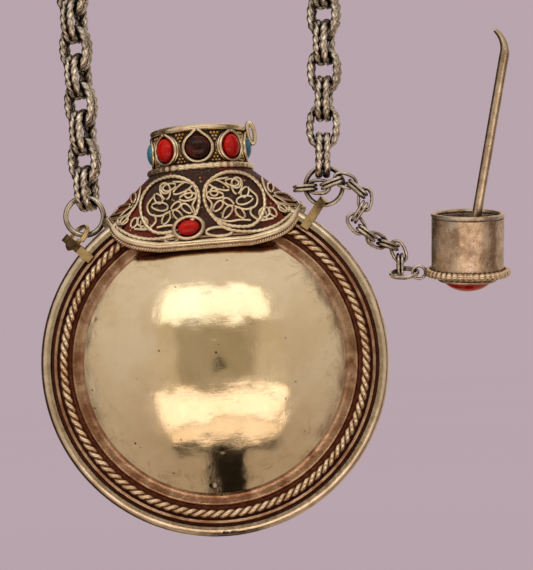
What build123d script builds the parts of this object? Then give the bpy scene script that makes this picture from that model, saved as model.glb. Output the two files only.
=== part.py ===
from build123d import *
import os
from math import asin, atan2, cos, hypot, pi, radians, sin, sqrt

# A round moon-flask snuff bottle worn as a pendant, in millimetres.
# The disc stands upright: neck along +Z, front face towards -Y, origin at the disc's centre.

# Flask body
DISC_R = 31.0           # outside of the edge band
BAND_HALF = 4.5         # half the width of the edge band
BAND_WALL = 1.75
BAND_ROUND = 1.2        # rounding of the band's outer edges
SHEET = 0.8             # sheet metal of the two shells
DOME_R = 23.7           # foot of the polished dome
DOME_TOP = 12.4         # height of the dome above the disc's middle plane
DOME_FOOT = 4.4         # height of the ledge round the dome
LEDGE_R = 25.4
FLOOR = 3.4             # height of the sunk channel that holds the rope wire
FIT = 0.05              # solder gap between soldered pieces
ROPE_R = 26.9           # centre line of the twisted rope wire
ROPE_WIRE = 1.6
RIM_WIRE_R = 28.35      # centre line of the plain wire outside the rope
RIM_WIRE = 0.8
PASSAGE_R = 3.5         # opening from the neck into the flask

# Collar over the shoulders
COLLAR_TOP = 34.0
COLLAR_LEVELS = (34.0, 31.0, 28.0, 25.0, 19.0)
COLLAR_MOUTH = 9.3      # half width and half depth at the top
WIDENING = 1.22         # how fast the half width grows downwards
WIDENING_EASE = 0.018
THINNING = 0.28         # how fast the half depth shrinks downwards
THINNING_EASE = 0.011
COLLAR_SHEET = 0.7
BORDER_WIDTH = 1.5
BORDER_HEIGHT = 0.9
FILIGREE_HEIGHT = 0.45
FILIGREE_WIRE = 0.55
TIP_X = 17.9            # the collar's pointed ends, on the edge band
TIP_Z = 26.0
HEM_X = 8.0             # the nearly straight middle of the lower edge
HEM_Z = 20.3
HEM_BEND = (14.2, 21.9) # where the lower edge turns up towards the tips
LOBES = ((5.9, 28.4, 11.2, 8.4), (13.4, 26.6, 4.6, 5.6))  # x, z, width and height of each lobe
LOBE_CURLS = 7
STONE_SEAT, STONE_RIM, STONE_TOP = 7.8, 8.8, 9.4  # heights of the collar stones over the middle plane
COLLAR_STONE_X = -2.7
COLLAR_STONE_Z = 24.0
COLLAR_STONE_A = 2.4    # half of the stone's width
COLLAR_STONE_B = 1.65   # half of its height

# Neck
BORE_R = 6.75
NECK_R = 7.8
NECK_LOW = 31.3
NECK_TOP = 42.1
TOP_RING_R = 8.65
BASE_RING_R = 9.65
RING_HEIGHT = 1.1
RING_ROUND = 0.5        # rounding of the neck rings' outer edges
LIP_LOOP_R = 0.95
LIP_LOOP_WIRE = 0.5
GRAIN_R = 0.55
GRAIN_RISE = 1.9        # height of the granules over and under the stones' middle
BASE_RING_Z = 34.6
STONE_Z = 38.1
STONE_COUNT = 8
BEZEL_R = 2.75
BEZEL_WALL = 0.45
BEZEL_OUT = 8.9         # how far from the neck's axis a bezel reaches
STONE_CROWN = 0.6       # how far a stone stands out of its bezel

# Bails: brass strips folded over the edge band
LEFT_BAIL = 136.0       # degrees round the disc from +X
RIGHT_BAIL = 52.0
STRIP = 0.6
STRIP_WIDTH = 1.5
STRIP_REACH = 28.6      # where the strip's legs end on the flask's faces
KNEE = 0.3              # how far beyond the band the strip turns in
EYE_R = 33.0            # distance of the eye's centre from the disc's centre
EYE_BEND = 2.1          # centre-line radius of the eye

# Rings
SMALL_RING_R = 2.9
SMALL_RING_WIRE = 0.7
SMALL_RING_OUT = 0.7    # its centre, from the eye's centre outwards
SMALL_RING_ASIDE = 1.4  # and to the strip's right
SMALL_RING_TIP = 25     # degrees it leans back
JUMP_RING_R = 3.4
JUMP_RING_WIRE = 1.0
JUMP_X, JUMP_Y, JUMP_Z = -21.6, 1.46, 28.1
SPLIT_RING_R = 3.75
SPLIT_RING_WIRE = 0.75
SPLIT_X, SPLIT_Z = 22.0, 30.0
END_RING_R = 2.7
END_RING_WIRE = 0.65
END_RING_TIP = 20       # degrees it leans forward
COIL_STEP = 0.96        # rise of a coil per turn, as a share of its wire

# Neck chain: paired oval links, each pair at right angles to the next
LINK_LENGTH = 8.5
LINK_WIDTH = 6.1
LINK_WIRE = 1.3
LINK_PITCH = 5.1
LEFT_PAIRS = 8
RIGHT_PAIRS = 7
PAIR_GAP = 0.06
LEFT_HANG = 12          # degrees round the jump ring where the left strand hangs
LEFT_LEAD = 1.7         # from a ring's wire to the middle of its strand's first pair
RIGHT_LEAD = 1.95
LEFT_ROLL = 22          # degrees the left strand starts rolled about itself
RIGHT_LEAN = 5.0        # degrees the right strand leans outwards
ROLL_STEP = 5           # degrees more roll with each pair, up to a limit
ROLL_LIMIT = 28
SWAY = 1.2              # degrees the pairs wander from a straight line
SWAY_RATE = 1.3

# Tether chain
FINE_LENGTH = 4.6
FINE_WIDTH = 3.0
FINE_WIRE = 0.62
FINE_PITCH = 2.6
TETHER_LEAD = 0.3        # from the split ring's wire to the middle of the first pair
TETHER_PAIRS = 13
TETHER_GROUPS = 7
TETHER_AHEAD = 2.0       # how far on along its course a pair points, which rounds the bends
TETHER_COURSE = (
    (20.0, -0.3, 30.0), (23.4, -1.1, 29.3), (25.9, -2.6, 30.6), (28.6, -2.5, 29.1),
    (29.9, -2.5, 26.8), (27.7, -2.4, 24.0), (27.7, -1.6, 22.0), (27.9, -1.7, 21.5),
    (32.0, 0.6, 18.7), (34.5, 2.0, 17.6), (35.0, 2.04, 13.0), (35.0, 2.04, 8.0),
)

# Stopper, which lies beside the flask with its stone downwards
STOPPER_X, STOPPER_Y, STOPPER_Z = 46.4, -0.5, 12.6
STOPPER_LEAN = 4.0      # degrees to the right
STOPPER_NOD = 11.0      # degrees towards the front
CUP_R = 6.5
CUP_HEIGHT = 9.2
CUP_WALL = 0.6
CUP_RIM_R = 6.65
CUP_RIM_WIRE = 0.9
PLATE_THICK = 1.0
BEAD_RING_R = 7.75
BEAD_RING_WIRE = 1.4
CORAL_R = 4.15
CORAL_CROWN = 1.4
STEM_R = 0.88
STEM_LENGTH = 38.5
STEM_LEAN = 13.5        # degrees to the right
LOOP_R = 1.15
LOOP_WIRE = 0.55
LOOP_SINK = 0.2         # how far the loop is soldered into the ribbed ring
STEM_FOOT = 0.25        # solder under the stem
SPOON_BEND = 4.6        # radius of the hooked tip's bend
SPOON_TURN = 62.0       # degrees the hooked tip turns through
SPOON_STEPS = 5
TIP_TAPER = 0.55        # share of its thickness that the tip loses
TIP_NARROWING = 0.1

os.makedirs("parts", exist_ok=True)


def save(piece, name):
    """Labels a finished piece and writes its STEP file."""
    piece.part.label = name
    export_step(piece.part, f"parts/{name}.step")


def circles_at(piece, radius):
    """The circular edges of a piece that have a radius."""
    circles = piece.edges().filter_by(GeomType.CIRCLE)
    return circles.filter_by(lambda edge: abs(edge.radius - radius) < FIT)


def dome_height(radius, top=DOME_TOP):
    """Height of the dome's sphere above the middle plane, at a distance from its axis."""
    rise = DOME_TOP - DOME_FOOT
    ball = (DOME_R**2 + rise**2) / (2 * rise)
    return top - ball + sqrt(ball**2 - radius**2)


def dome_profile(side, drop, foot_r, ledge_r, low):
    """Half of a dome-and-ledge section, down to a low level. side is -1 in front."""
    with BuildSketch(Plane.XY) as profile:
        with BuildLine():
            ThreePointArc(
                (0, side * (DOME_TOP - drop)),
                (DOME_R / 2, side * (dome_height(DOME_R / 2) - drop)),
                (foot_r, side * (DOME_FOOT - drop)),
            )
            Polyline(
                (foot_r, side * (DOME_FOOT - drop)),
                (ledge_r, side * (DOME_FOOT - drop)),
                (ledge_r, side * low),
                (0, side * low),
                (0, side * (DOME_TOP - drop)),
            )
        make_face()
    return profile.sketch


def shell(name, side):
    """One stamped half of the flask: a dome, a ledge and a sunk channel. side is -1 in front."""
    channel_r = DISC_R - BAND_WALL - FIT
    low = FLOOR - SHEET
    with BuildPart() as half:
        revolve(dome_profile(side, 0, DOME_R, LEDGE_R, low), axis=Axis.Y)
        with BuildSketch(Plane.XZ.offset(-side * low)):
            Circle(channel_r)
        extrude(amount=-side * SHEET)
        hollow = dome_profile(side, SHEET, DOME_R - SHEET / 2, LEDGE_R - SHEET, low - 1)
        revolve(hollow, axis=Axis.Y, mode=Mode.SUBTRACT)
    save(half, name)


def edge_band():
    """The hoop that joins the two shells, pierced under the neck."""
    with BuildPart() as band:
        with BuildSketch(Plane.XZ.offset(-BAND_HALF)):
            Circle(DISC_R)
            Circle(DISC_R - BAND_WALL, mode=Mode.SUBTRACT)
        extrude(amount=2 * BAND_HALF)
        fillet(circles_at(band, DISC_R), BAND_ROUND)
        with BuildSketch(Plane.XY):
            Circle(PASSAGE_R)
        extrude(amount=DISC_R + 1, mode=Mode.SUBTRACT)
    save(band, "edge_band")


def hoop(name, radius, wire, height):
    """A round wire laid in a circle about the flask's axis, resting at a height."""
    with BuildPart() as ring:
        with BuildSketch(Plane.XY):
            with Locations((radius, height)):
                Circle(wire / 2)
        revolve(axis=Axis.Y)
    save(ring, name)


def flask_envelope():
    """The flask as one solid, a little larger, to fit the collar's underside to it."""
    grow = FIT
    outer = DISC_R + grow
    rope_top = FLOOR + ROPE_WIRE + grow
    with BuildPart() as envelope:
        with BuildSketch(Plane.XY):
            with BuildLine():
                for side in (-1, 1):
                    ThreePointArc(
                        (0, side * (DOME_TOP + grow)),
                        (DOME_R / 2, side * (dome_height(DOME_R / 2) + grow)),
                        (DOME_R, side * (DOME_FOOT + grow)),
                    )
                    Polyline(
                        (DOME_R, side * (DOME_FOOT + grow)),
                        (ROPE_R - ROPE_WIRE / 2 - grow, side * (DOME_FOOT + grow)),
                        (ROPE_R - ROPE_WIRE / 2 - grow, side * rope_top),
                        (outer - BAND_WALL, side * rope_top),
                        (outer - BAND_WALL, side * (BAND_HALF + grow)),
                        (outer, side * (BAND_HALF + grow)),
                        (outer, 0),
                    )
                Line((0, -DOME_TOP - grow), (0, DOME_TOP + grow))
            make_face()
        revolve(axis=Axis.Y)
    return envelope.part


def saddle(grow):
    """The solid inside the collar's outer surface, grown by an amount: ellipses that widen downwards."""
    with BuildPart() as body:
        for z in COLLAR_LEVELS:
            drop = COLLAR_TOP - z
            half_width = COLLAR_MOUTH + WIDENING * drop - WIDENING_EASE * drop**2
            half_depth = COLLAR_MOUTH - THINNING * drop + THINNING_EASE * drop**2
            with BuildSketch(Plane.XY.offset(z)):
                Ellipse(half_width + grow, half_depth + grow)
        loft()
    return body.part


def hem_outline(inset):
    """The collar's outline seen from the front, drawn in by an amount along its lower edge."""
    low = HEM_Z + inset
    with BuildSketch(Plane.XZ) as outline:
        with BuildLine():
            Line((-HEM_X, low), (HEM_X, low))
            for side in (-1, 1):
                ThreePointArc(
                    (side * HEM_X, low),
                    (side * HEM_BEND[0], HEM_BEND[1] + inset),
                    (side * TIP_X, TIP_Z + inset),
                )
                Line((side * TIP_X, TIP_Z + inset), (side * TIP_X, COLLAR_TOP + 1))
            Line((-TIP_X, COLLAR_TOP + 1), (TIP_X, COLLAR_TOP + 1))
        make_face()
    return outline.sketch


def collar_layer(low, high, region, keep=Keep.BOTH):
    """The part of a layer over the saddle surface, from one height to another, inside a region."""
    with BuildPart() as slab:
        extrude(region, amount=15, dir=(0, 1, 0), both=True)
    with BuildPart() as layer:
        add(saddle(high))
        add(saddle(low), mode=Mode.SUBTRACT)
        if keep != Keep.BOTH:
            split(bisect_by=Plane.XZ, keep=keep)
        add(slab.part, mode=Mode.INTERSECT)
        add(flask_envelope(), mode=Mode.SUBTRACT)
        with BuildSketch(Plane.XY.offset(NECK_LOW - FIT)):
            Circle(NECK_R + FIT)
        extrude(amount=NECK_TOP - NECK_LOW, mode=Mode.SUBTRACT)
    return layer


def scroll(x, z, radius):
    """One curl of filigree wire, seen from the front."""
    with BuildSketch(Plane.XZ) as curl:
        with Locations((x, z)):
            Circle(radius + FILIGREE_WIRE / 2)
            Circle(radius - FILIGREE_WIRE / 2, mode=Mode.SUBTRACT)
    return curl.sketch


def lobe(x, z, width, height):
    """A lobe of filigree: an oval outline of wire filled with a ring of small curls."""
    curl_r = height / LOBE_CURLS
    with BuildSketch(Plane.XZ) as sketch:
        with Locations((x, z)):
            Ellipse(width / 2, height / 2)
            Ellipse(width / 2 - FILIGREE_WIRE, height / 2 - FILIGREE_WIRE, mode=Mode.SUBTRACT)
        for n in range(LOBE_CURLS):
            turn = 2 * pi * n / LOBE_CURLS
            along = (width / 2 - curl_r - FILIGREE_WIRE) * cos(turn)
            across = (height / 2 - curl_r - FILIGREE_WIRE) * sin(turn)
            add(scroll(x + along, z + across, curl_r))
        add(scroll(x, z, curl_r))
    return sketch.sketch


def filigree(name, keep):
    """The scrollwork soldered on one face of the collar."""
    with BuildSketch(Plane.XZ) as pattern:
        for side in (-1, 1):
            for x, z, width, height in LOBES:
                add(lobe(side * x, z, width, height))
        add(hem_outline(BORDER_WIDTH + FIT), mode=Mode.INTERSECT)
        with Locations((COLLAR_STONE_X, COLLAR_STONE_Z)):
            Ellipse(
                COLLAR_STONE_A + BEZEL_WALL + FIT,
                COLLAR_STONE_B + BEZEL_WALL + FIT,
                mode=Mode.SUBTRACT,
            )
    piece = collar_layer(FIT, FILIGREE_HEIGHT, pattern.sketch, keep)
    save(piece, name)


def collar_border():
    """The thick wire along the collar's lower edge."""
    with BuildSketch(Plane.XZ) as strip:
        add(hem_outline(0))
        add(hem_outline(BORDER_WIDTH), mode=Mode.SUBTRACT)
    save(collar_layer(FIT, BORDER_HEIGHT, strip.sketch), "collar_border")


def collar_stones():
    """An oval coral in a bezel on each face of the collar."""
    with BuildPart() as bezels:
        for side in (-1, 1):
            face = Plane((COLLAR_STONE_X, 0, COLLAR_STONE_Z), x_dir=(1, 0, 0), z_dir=(0, side, 0))
            with BuildSketch(face.offset(STONE_SEAT)):
                Ellipse(COLLAR_STONE_A + BEZEL_WALL, COLLAR_STONE_B + BEZEL_WALL)
                Ellipse(COLLAR_STONE_A + FIT, COLLAR_STONE_B + FIT, mode=Mode.SUBTRACT)
            extrude(amount=STONE_RIM - STONE_SEAT)
    save(bezels, "collar_bezels")
    with BuildPart() as corals:
        for side in (-1, 1):
            face = Plane((COLLAR_STONE_X, 0, COLLAR_STONE_Z), x_dir=(1, 0, 0), z_dir=(0, side, 0))
            with BuildSketch(face.offset(STONE_SEAT)):
                Ellipse(COLLAR_STONE_A, COLLAR_STONE_B)
            extrude(amount=STONE_TOP - STONE_SEAT)
        tops = [corals.faces().sort_by(Axis.Y)[end].edges() for end in (0, -1)]
        fillet(ShapeList(tops[0] + tops[1]), STONE_TOP - STONE_RIM)
    save(corals, "collar_corals")


def neck_ring(name, inner, outer, z):
    """A ring of wire soldered round the neck tube."""
    with BuildPart() as ring:
        with BuildSketch(Plane.XY.offset(z - RING_HEIGHT / 2)):
            Circle(outer)
            Circle(inner, mode=Mode.SUBTRACT)
        extrude(amount=RING_HEIGHT)
        fillet(circles_at(ring, outer), RING_ROUND)
    save(ring, name)


def neck():
    """The tube that the stopper's cup slides into, with its two rings and the loop on its lip."""
    with BuildPart() as tube:
        with BuildSketch(Plane.XY.offset(NECK_LOW)):
            Circle(NECK_R)
            Circle(BORE_R, mode=Mode.SUBTRACT)
        extrude(amount=NECK_TOP - NECK_LOW)
    save(tube, "neck_tube")
    neck_ring("neck_top_ring", NECK_R + FIT, TOP_RING_R, NECK_TOP - RING_HEIGHT / 2)
    neck_ring("neck_base_ring", NECK_R + FIT, BASE_RING_R, BASE_RING_Z)
    reach = TOP_RING_R + LIP_LOOP_R + LIP_LOOP_WIRE / 2 + FIT
    with BuildPart() as loop:
        with Locations(Location((reach, 0, NECK_TOP - RING_HEIGHT / 2), (90, 0, 0))):
            Torus(LIP_LOOP_R, LIP_LOOP_WIRE / 2)
    save(loop, "lip_loop")


def stone_plane(turn):
    """A plane that faces out from the neck's axis, turned in degrees from the front."""
    out = Vector(sin(radians(turn)), -cos(radians(turn)), 0)
    return Plane((0, 0, STONE_Z), x_dir=(cos(radians(turn)), sin(radians(turn)), 0), z_dir=out)


def neck_stones(name, turns, radius, crown):
    """Round cabochons seated in their bezels round the neck."""
    with BuildPart() as stones:
        for turn in turns:
            with BuildSketch(stone_plane(turn).offset(NECK_R + 2 * FIT)):
                Circle(radius)
            extrude(amount=BEZEL_OUT + crown - NECK_R - 2 * FIT)
        crowns = stones.edges().filter_by(GeomType.CIRCLE).group_by(neck_distance)[-1]
        fillet(crowns, 0.9 * crown)
    save(stones, name)


def neck_distance(edge):
    """How far an edge's middle lies from the neck's axis, rounded for grouping."""
    middle = edge.arc_center
    return round(hypot(middle.X, middle.Y), 2)


def neck_bezels():
    """The cups round the neck stones, fitted to the tube."""
    with BuildPart() as bezels:
        for n in range(STONE_COUNT):
            with BuildSketch(stone_plane(n * 360 / STONE_COUNT).offset(NECK_R - 1)):
                Circle(BEZEL_R)
                Circle(BEZEL_R - BEZEL_WALL, mode=Mode.SUBTRACT)
            extrude(amount=BEZEL_OUT - NECK_R + 1)
        with BuildSketch(Plane.XY.offset(NECK_LOW)):
            Circle(NECK_R + FIT)
        extrude(amount=NECK_TOP - NECK_LOW, mode=Mode.SUBTRACT)
    save(bezels, "neck_bezels")


def neck_granules():
    """Brass granules above and below, between the neck bezels."""
    with BuildPart() as granules:
        for n in range(STONE_COUNT):
            turn = radians((n + 0.5) * 360 / STONE_COUNT)
            reach = NECK_R + GRAIN_R + FIT
            for z in (STONE_Z - GRAIN_RISE, STONE_Z + GRAIN_RISE):
                with Locations((reach * sin(turn), -reach * cos(turn), z)):
                    Sphere(GRAIN_R)
    save(granules, "neck_granules")


def bail(name, turn):
    """A brass strip folded over the edge band, with an eye for a ring beyond it."""
    radial = Vector(cos(radians(turn)), 0, sin(radians(turn)))
    tangent = Vector(sin(radians(turn)), 0, -cos(radians(turn)))
    leg = BAND_HALF + FIT + STRIP / 2
    knee = DISC_R + KNEE
    reach = hypot(EYE_R - knee, leg)
    slope = atan2(leg, EYE_R - knee) - asin(EYE_BEND / reach)
    run = sqrt(reach**2 - EYE_BEND**2)
    touch = (knee + run * cos(slope), leg - run * sin(slope))
    with BuildPart() as strip:
        with BuildSketch(Plane((0, 0, 0), x_dir=radial, z_dir=tangent)):
            with BuildLine():
                for side in (-1, 1):
                    Polyline((STRIP_REACH, side * leg), (knee, side * leg), (touch[0], side * touch[1]))
                ThreePointArc((touch[0], -touch[1]), (EYE_R + EYE_BEND, 0), touch)
            trace(line_width=STRIP)
        extrude(amount=STRIP_WIDTH / 2, both=True)
    save(strip, name)


def ring(name, plane, radius, wire, coils):
    """A ring of round wire. Two coils lie one on the other, as in a split ring."""
    rise = COIL_STEP * wire
    with BuildPart() as piece:
        for n in range(coils):
            with Locations(plane.offset((n - (coils - 1) / 2) * rise).location):
                Torus(radius, wire / 2)
    save(piece, name)


def oval_link(length, width, wire):
    """One oval link of round wire, long side along X, lying in the XY plane."""
    bend = (width - wire) / 2
    straight = length - width
    with BuildPart() as link:
        with BuildSketch(Plane.YZ.offset(-straight / 2)):
            with Locations((bend, 0), (-bend, 0)):
                Circle(wire / 2)
        extrude(amount=straight)
        for end in (-1, 1):
            with BuildSketch(Plane.YZ.offset(end * straight / 2)):
                with Locations((bend, 0)):
                    Circle(wire / 2)
            revolve(axis=Axis((end * straight / 2, 0, 0), (0, 0, -end)), revolution_arc=180)
    return link.part


MAIN_LINK = oval_link(LINK_LENGTH, LINK_WIDTH, LINK_WIRE)
FINE_LINK = oval_link(FINE_LENGTH, FINE_WIDTH, FINE_WIRE)


def along_and_normal(along, facing):
    """A pair's direction, and the part of a facing direction that is square to it."""
    return along, (facing - along * facing.dot(along)).normalized()


def strand(start, lead, pairs, lean, roll):
    """A hanging strand as (pin, centre, along, normal) for each pair. A pair swings on its pin."""
    half = (LINK_LENGTH - LINK_WIRE) / 2
    pin, places = start, []
    for n in range(pairs):
        angle = radians(lean + SWAY * sin(SWAY_RATE * n))
        turn = radians(min(roll + ROLL_STEP * n, ROLL_LIMIT) + 90 * (n % 2 == 0))
        along, normal = along_and_normal(
            Vector(sin(angle), 0, cos(angle)), Vector(-sin(turn), -cos(turn), 0)
        )
        centre = pin + along * (LINK_PITCH - half if n else lead)
        places.append((pin, centre, along, normal))
        pin = centre + along * half
    return places


def left_strand():
    """The strand on the plain jump ring."""
    hang = radians(LEFT_HANG)
    start = Vector(JUMP_X + JUMP_RING_R * sin(hang), JUMP_Y, JUMP_Z + JUMP_RING_R * cos(hang))
    return strand(start, LEFT_LEAD, LEFT_PAIRS, 0.0, LEFT_ROLL)


def right_strand():
    """The strand on the split ring."""
    return strand(Vector(SPLIT_X, 0, SPLIT_Z + SPLIT_RING_R), RIGHT_LEAD, RIGHT_PAIRS, RIGHT_LEAN, 0)


def tether_pairs():
    """The tether as (pin, centre, along, normal) for each pair, from the split ring to the end ring.

    Pairs stand edge on and face on in turn. A pair's near wire stays in line with the pair before it
    where the two bend about its own wire, and with itself where they bend about the other's.
    """
    with BuildLine() as course:
        Spline(*TETHER_COURSE)
    half = (FINE_LENGTH - FINE_WIRE) / 2
    overlap = 2 * half - FINE_PITCH
    centre = Vector(SPLIT_X - SPLIT_RING_R + TETHER_LEAD, 0, SPLIT_Z)
    along = Vector(1, 0, 0)
    places = [(centre, centre, along, Vector(0, 0, 1))]
    for n in range(1, TETHER_PAIRS):
        pin = centre + along * half
        along_course = (n * FINE_PITCH + TETHER_AHEAD) / course.line.edges()[0].length
        ahead = (course.line @ min(along_course, 1) - pin).normalized()
        if n % 2:
            hook = Vector(ahead.X, along.Y, ahead.Z).normalized()
        else:
            hook = Vector(along.X, ahead.Y, along.Z).normalized()
        centre = pin - hook * overlap + ahead * half
        edge_on = ahead.cross(Vector(0, 1, 0)).normalized()
        normal = edge_on.cross(ahead) if n % 2 else edge_on
        along = ahead
        places.append((pin, centre, along, normal))
    return places


def link_locations(centre, along, normal, wire):
    """Where the two links of a pair stand, side by side."""
    step = (wire + PAIR_GAP) / 2
    return [Plane(centre + normal * side * step, x_dir=along, z_dir=normal).location for side in (-1, 1)]


def save_links(name, link, locations):
    """Writes one node of chain links."""
    with BuildPart() as links:
        with Locations(*locations):
            add(link)
    save(links, name)


def neck_chain(side, places):
    """One strand of the neck chain, a node for each pair."""
    for n, (_, centre, along, normal) in enumerate(places):
        save_links(f"{side}_chain_{n + 1}", MAIN_LINK, link_locations(centre, along, normal, LINK_WIRE))


def tether():
    """The fine chain between the flask and the stopper: one pair, then groups of two."""
    pairs = tether_pairs()
    for group in range(TETHER_GROUPS):
        members = pairs[:1] if group == 0 else pairs[2 * group - 1 : 2 * group + 1]
        locations = []
        for _, centre, along, normal in members:
            locations += link_locations(centre, along, normal, FINE_WIRE)
        save_links(f"tether_{group + 1}", FINE_LINK, locations)


def small_ring_plane():
    """The plane of the small coiled ring, which passes through the left bail's eye."""
    radial = Vector(cos(radians(LEFT_BAIL)), 0, sin(radians(LEFT_BAIL)))
    tangent = Vector(sin(radians(LEFT_BAIL)), 0, -cos(radians(LEFT_BAIL)))
    centre = radial * (EYE_R + SMALL_RING_OUT) + tangent * SMALL_RING_ASIDE + Vector(0, JUMP_Y, 0)
    tip = radians(SMALL_RING_TIP)
    back = Vector(0, cos(tip), 0) + radial * sin(tip)
    return Plane(centre, x_dir=tangent, z_dir=tangent.cross(back))


def end_ring_plane():
    """The plane of the coiled ring between the tether and the stopper."""
    tip = radians(END_RING_TIP)
    centre = loop_centre() - Vector(END_RING_R, 0, 0)
    return Plane(centre, x_dir=(1, 0, 0), z_dir=(0, -sin(tip), cos(tip)))


def stopper_plane():
    """The stopper's own plane: its axis runs from the plate towards the spoon."""
    lean, nod = radians(STOPPER_LEAN), radians(STOPPER_NOD)
    axis = Vector(sin(lean) * cos(nod), -sin(nod), cos(lean) * cos(nod))
    across = Vector(cos(lean), 0, -sin(lean))
    return Plane((STOPPER_X, STOPPER_Y, STOPPER_Z), x_dir=across, z_dir=axis)


def loop_centre():
    """The centre of the wire loop on the stopper's plate."""
    return (stopper_plane() * Location((LOOP_SINK - BEAD_RING_R - LOOP_R, 0, 0))).position


def stopper_cup():
    """The hollow cup that plugs the neck, with a rolled wire round its mouth."""
    base = stopper_plane()
    with BuildPart() as cup:
        with BuildSketch(base.offset(PLATE_THICK / 2 + FIT)):
            Circle(CUP_R)
        extrude(amount=CUP_HEIGHT)
        with BuildSketch(base.offset(PLATE_THICK / 2 + FIT)):
            Circle(CUP_R - CUP_WALL)
        extrude(amount=CUP_HEIGHT, mode=Mode.SUBTRACT)
    save(cup, "stopper_cup")
    ring("stopper_rim", base.offset(PLATE_THICK / 2 + CUP_HEIGHT + FIT + CUP_RIM_WIRE / 2 + FIT),
         CUP_RIM_R - CUP_RIM_WIRE / 2, CUP_RIM_WIRE, 1)


def stopper_plate():
    """The plate under the cup, the ribbed ring round it and the coral set in a bezel below."""
    base = stopper_plane()
    with BuildPart() as plate:
        with BuildSketch(base.offset(-PLATE_THICK / 2)):
            Circle(BEAD_RING_R - BEAD_RING_WIRE - FIT)
        extrude(amount=PLATE_THICK)
    save(plate, "stopper_plate")
    ring("stopper_beaded_ring", base, BEAD_RING_R - BEAD_RING_WIRE / 2, BEAD_RING_WIRE, 1)
    below = Plane(base.offset(-PLATE_THICK / 2 - FIT).origin, x_dir=base.x_dir, z_dir=-base.z_dir)
    with BuildPart() as bezel:
        with BuildSketch(below):
            Circle(CORAL_R + FIT + BEZEL_WALL)
            Circle(CORAL_R + FIT, mode=Mode.SUBTRACT)
        extrude(amount=CORAL_CROWN / 2)
    save(bezel, "stopper_bezel")
    with BuildPart() as coral:
        with BuildSketch(below):
            Circle(CORAL_R)
        extrude(amount=CORAL_CROWN)
        fillet(coral.faces().sort_by(Axis(below.origin, below.z_dir))[-1].edges(), 0.9 * CORAL_CROWN)
    save(coral, "stopper_coral")


def stopper_loop():
    """The wire loop on the plate's rim that the end ring passes through."""
    with BuildPart() as loop:
        with Locations(Plane(loop_centre(), x_dir=(1, 0, 0), z_dir=(0, -1, 0)).location):
            Torus(LOOP_R, LOOP_WIRE / 2)
    save(loop, "stopper_loop")


def spoon():
    """The snuff spoon: a straight stem that bends over into a tapered, flattened tip."""
    base = stopper_plane().offset(PLATE_THICK / 2 + FIT)
    lean, nod = radians(STEM_LEAN), radians(STOPPER_NOD)
    axis = Vector(sin(lean) * cos(nod), -sin(nod), cos(lean) * cos(nod))
    side = Vector(cos(lean), 0, -sin(lean))
    stem_plane = Plane(base.origin, x_dir=side, z_dir=axis)
    with BuildPart() as stem:
        with BuildSketch(stem_plane.offset(STEM_FOOT)):
            Circle(STEM_R)
        extrude(amount=STEM_LENGTH)
        top = stem_plane.offset(STEM_LENGTH + STEM_FOOT)
        for step in range(SPOON_STEPS + 1):
            turn = radians(step * SPOON_TURN / SPOON_STEPS)
            shrink = 1 - TIP_TAPER * step / SPOON_STEPS
            spot = top.origin - side * SPOON_BEND * (1 - cos(turn)) + axis * SPOON_BEND * sin(turn)
            facing = axis * cos(turn) - side * sin(turn)
            with BuildSketch(Plane(spot, x_dir=(0, 1, 0), z_dir=facing)):
                Ellipse(STEM_R * (1 - TIP_NARROWING * step / SPOON_STEPS), STEM_R * shrink)
        loft()
    save(stem, "spoon_stem")


shell("front_shell", -1)
shell("back_shell", 1)
edge_band()
for word, way in (("front", -1), ("back", 1)):
    hoop(f"{word}_rope_wire", ROPE_R, ROPE_WIRE, way * (FLOOR + FIT + ROPE_WIRE / 2))
    hoop(f"{word}_rim_wire", RIM_WIRE_R, RIM_WIRE, way * (FLOOR + FIT + RIM_WIRE / 2))
save(collar_layer(-COLLAR_SHEET, 0, hem_outline(0)), "collar")
collar_border()
filigree("front_filigree", Keep.TOP)
filigree("back_filigree", Keep.BOTTOM)
collar_stones()
neck()
neck_bezels()
stone_r = BEZEL_R - BEZEL_WALL - FIT
neck_stones("neck_garnets", (0, 180), stone_r, STONE_CROWN)
neck_stones("neck_corals", (-45, 45, 135, 225), stone_r, STONE_CROWN)
neck_stones("neck_turquoises", (-90, 90), stone_r, STONE_CROWN)
neck_granules()
bail("left_bail", LEFT_BAIL)
bail("right_bail", RIGHT_BAIL)
ring("small_ring", small_ring_plane(), SMALL_RING_R, SMALL_RING_WIRE, 2)
ring("jump_ring", Plane((JUMP_X, JUMP_Y, JUMP_Z), z_dir=(0, -1, 0)), JUMP_RING_R, JUMP_RING_WIRE, 1)
ring("split_ring", Plane((SPLIT_X, 0, SPLIT_Z), z_dir=(0, -1, 0)), SPLIT_RING_R, SPLIT_RING_WIRE, 2)
neck_chain("left", left_strand())
neck_chain("right", right_strand())
tether()
ring("end_ring", end_ring_plane(), END_RING_R, END_RING_WIRE, 2)
stopper_cup()
stopper_plate()
stopper_loop()
spoon()
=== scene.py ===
from math import cos, pi, radians, sin, sqrt, tau

import bpy
import numpy as np
from mathutils import Matrix, Vector

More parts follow.
